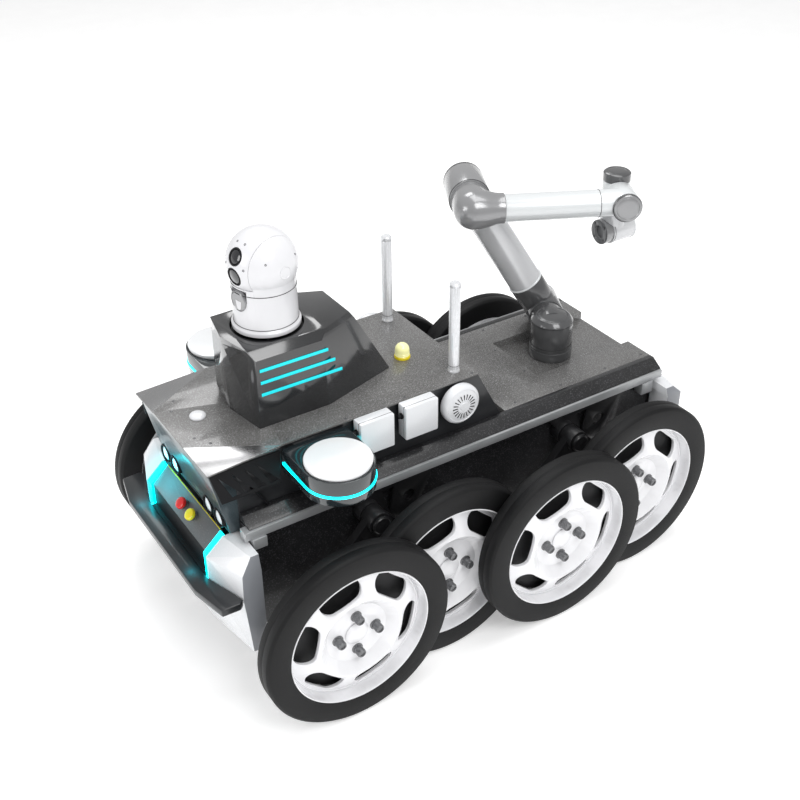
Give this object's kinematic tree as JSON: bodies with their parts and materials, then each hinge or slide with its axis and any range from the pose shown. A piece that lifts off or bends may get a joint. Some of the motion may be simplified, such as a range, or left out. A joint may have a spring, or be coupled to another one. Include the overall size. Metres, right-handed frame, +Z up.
{
  "type": "eight-wheel inspection robot with arm",
  "caption": "Wheeled inspection robot: low hull on rocker suspension, faceted turret with a ball camera, side scanners, front bumper with buttons, and a jointed arm on the rear deck.",
  "frame": {"origin": "on the floor, at the middle of the robot's length and width", "axes": "+X forward, towards the bumper with the buttons; +Y to the robot's left; +Z up"},
  "size_m": [1.333, 0.834, 1.005],
  "materials": {
    "hull_paint": "satin",
    "stone_panel": "speckled satin",
    "deck_paint": "speckled gloss",
    "rail_silver": "satin",
    "shell_white": "gloss",
    "trim_black": "satin",
    "fascia_silver": "satin metallic",
    "panel_grey": "satin",
    "lamp_chrome": "mirror",
    "button_red": "gloss",
    "button_yellow": "gloss",
    "turret_grey": "gloss",
    "camera_white": "gloss",
    "lens_dark": "glass-like gloss",
    "smoke_glass": "smoked gloss",
    "cap_silver": "satin",
    "light_cyan": "glowing",
    "beacon_yellow": "gloss",
    "antenna_silver": "polished",
    "suspension_black": "satin",
    "battery_case": "matte",
    "controller_case": "satin",
    "tyre_rubber": "matte",
    "rim_white": "gloss",
    "arm_grey": "satin",
    "arm_silver": "brushed satin",
    "arm_white": "gloss",
    "flange_steel": "satin"
  },
  "bodies": {
    "chassis": {"hull_tub": "stone_panel", "side_rails": "rail_silver", "sill_panels": "stone_panel", "arm_deck": "deck_paint", "upper_body": "hull_paint", "hood_deck": "deck_paint", "vent_panels": "trim_black", "front_fascia": "fascia_silver", "headlights": "lamp_chrome", "front_bumper": "shell_white", "button_panel": "panel_grey", "grille_bar": "trim_black", "bumper_lip": "hull_paint", "turret_housing": "turret_grey", "camera_mount": "trim_black", "scanner_housings": "smoke_glass", "scanner_caps": "cap_silver", "light_strips": "light_cyan", "side_radios": "shell_white", "speakers": "shell_white", "position_cap": "shell_white", "beacon": "beacon_yellow", "antennas": "antenna_silver", "rear_bumper": "shell_white", "rear_panel": "trim_black", "pivot_brackets": "suspension_black", "battery_pack": "battery_case", "control_box": "controller_case", "arm_base": "arm_grey"},
    "red_button": {"red_button": "button_red"},
    "yellow_button": {"yellow_button": "button_yellow"},
    "camera_pan": {"camera_yoke": "camera_white"},
    "camera_tilt": {"camera_head": "camera_white", "camera_lenses": "lens_dark"},
    "arm_1": {"arm_shoulder": "arm_grey"},
    "arm_2": {"upper_arm": "arm_silver"},
    "arm_3": {"forearm": "arm_white"},
    "arm_4": {"wrist_housing": "arm_grey"},
    "arm_5": {"tool_wrist": "arm_grey"},
    "arm_6": {"tool_flange": "flange_steel"},
    "rocker_front_left": {"rocker_front_left": "suspension_black"},
    "rocker_rear_left": {"rocker_rear_left": "suspension_black"},
    "wheel_left_1": {"tyre_left_1": "tyre_rubber", "rim_left_1": "rim_white"},
    "wheel_left_2": {"tyre_left_2": "tyre_rubber", "rim_left_2": "rim_white"},
    "wheel_left_3": {"tyre_left_3": "tyre_rubber", "rim_left_3": "rim_white"},
    "wheel_left_4": {"tyre_left_4": "tyre_rubber", "rim_left_4": "rim_white"},
    "rocker_front_right": {"rocker_front_right": "suspension_black"},
    "rocker_rear_right": {"rocker_rear_right": "suspension_black"},
    "wheel_right_1": {"tyre_right_1": "tyre_rubber", "rim_right_1": "rim_white"},
    "wheel_right_2": {"tyre_right_2": "tyre_rubber", "rim_right_2": "rim_white"},
    "wheel_right_3": {"tyre_right_3": "tyre_rubber", "rim_right_3": "rim_white"},
    "wheel_right_4": {"tyre_right_4": "tyre_rubber", "rim_right_4": "rim_white"}
  },
  "joints": [
    {"name": "red_button_press", "type": "slide", "parent": "chassis", "child": "red_button", "axis": [0.6983, 0, 0.7158], "range_m": [-0.005, 0], "stiffness_N_per_m": 400},
    {"name": "yellow_button_press", "type": "slide", "parent": "chassis", "child": "yellow_button", "axis": [0.6983, 0, 0.7158], "range_m": [-0.005, 0], "stiffness_N_per_m": 400},
    {"name": "camera_pan", "type": "hinge", "parent": "chassis", "child": "camera_pan", "pos_m": [0.3635, 0, 0.929], "axis": [0, 0, 1], "continuous": true},
    {"name": "camera_tilt", "type": "hinge", "parent": "camera_pan", "child": "camera_tilt", "pos_m": [0.3635, 0, 0.929], "axis": [0.2079, -0.9781, 0], "range_deg": [-30, 90]},
    {"name": "arm_base_turn", "type": "hinge", "parent": "chassis", "child": "arm_1", "pos_m": [-0.4275, 0, 0.517], "axis": [0, 0, 1], "range_deg": [-175, 175]},
    {"name": "shoulder_tilt", "type": "hinge", "parent": "arm_1", "child": "arm_2", "pos_m": [-0.4275, 0, 0.517], "axis": [0.454, 0.891, 0], "range_deg": [-40, 30]},
    {"name": "elbow_bend", "type": "hinge", "parent": "arm_2", "child": "arm_3", "pos_m": [-0.24128, -0.09488, 0.85806], "axis": [0.454, 0.891, 0], "range_deg": [-15, 100]},
    {"name": "wrist_pitch", "type": "hinge", "parent": "arm_3", "child": "arm_4", "pos_m": [-0.56383, 0.06946, 0.85806], "axis": [0.454, 0.891, 0], "range_deg": [-50, 175]},
    {"name": "wrist_yaw", "type": "hinge", "parent": "arm_4", "child": "arm_5", "pos_m": [-0.5956, 0.00709, 0.85806], "axis": [0, 0, 1], "range_deg": [-175, 175]},
    {"name": "tool_roll", "type": "hinge", "parent": "arm_5", "child": "arm_6", "pos_m": [-0.5956, 0.00709, 0.75406], "axis": [0.9994, -0.0349, 0], "range_deg": [-175, 175]},
    {"name": "rocker_front_left_swing", "type": "hinge", "parent": "chassis", "child": "rocker_front_left", "pos_m": [0.2585, 0.25, 0.375], "axis": [0, 1, 0], "range_deg": [-5, 5]},
    {"name": "rocker_rear_left_swing", "type": "hinge", "parent": "chassis", "child": "rocker_rear_left", "pos_m": [-0.3015, 0.25, 0.375], "axis": [0, 1, 0], "range_deg": [-5, 5]},
    {"name": "wheel_left_1_spin", "type": "hinge", "parent": "rocker_front_left", "child": "wheel_left_1", "pos_m": [0.3985, 0.392, 0.225], "axis": [0, 1, 0], "continuous": true},
    {"name": "wheel_left_2_spin", "type": "hinge", "parent": "rocker_front_left", "child": "wheel_left_2", "pos_m": [0.1185, 0.331, 0.225], "axis": [0, 1, 0], "continuous": true},
    {"name": "wheel_left_3_spin", "type": "hinge", "parent": "rocker_rear_left", "child": "wheel_left_3", "pos_m": [-0.1615, 0.392, 0.225], "axis": [0, 1, 0], "continuous": true},
    {"name": "wheel_left_4_spin", "type": "hinge", "parent": "rocker_rear_left", "child": "wheel_left_4", "pos_m": [-0.4415, 0.331, 0.225], "axis": [0, 1, 0], "continuous": true},
    {"name": "rocker_front_right_swing", "type": "hinge", "parent": "chassis", "child": "rocker_front_right", "pos_m": [0.2585, -0.25, 0.375], "axis": [0, 1, 0], "range_deg": [-5, 5]},
    {"name": "rocker_rear_right_swing", "type": "hinge", "parent": "chassis", "child": "rocker_rear_right", "pos_m": [-0.3015, -0.25, 0.375], "axis": [0, 1, 0], "range_deg": [-5, 5]},
    {"name": "wheel_right_1_spin", "type": "hinge", "parent": "rocker_front_right", "child": "wheel_right_1", "pos_m": [0.3985, -0.392, 0.225], "axis": [0, 1, 0], "continuous": true},
    {"name": "wheel_right_2_spin", "type": "hinge", "parent": "rocker_front_right", "child": "wheel_right_2", "pos_m": [0.1185, -0.331, 0.225], "axis": [0, 1, 0], "continuous": true},
    {"name": "wheel_right_3_spin", "type": "hinge", "parent": "rocker_rear_right", "child": "wheel_right_3", "pos_m": [-0.1615, -0.392, 0.225], "axis": [0, 1, 0], "continuous": true},
    {"name": "wheel_right_4_spin", "type": "hinge", "parent": "rocker_rear_right", "child": "wheel_right_4", "pos_m": [-0.4415, -0.331, 0.225], "axis": [0, 1, 0], "continuous": true}
  ]
}
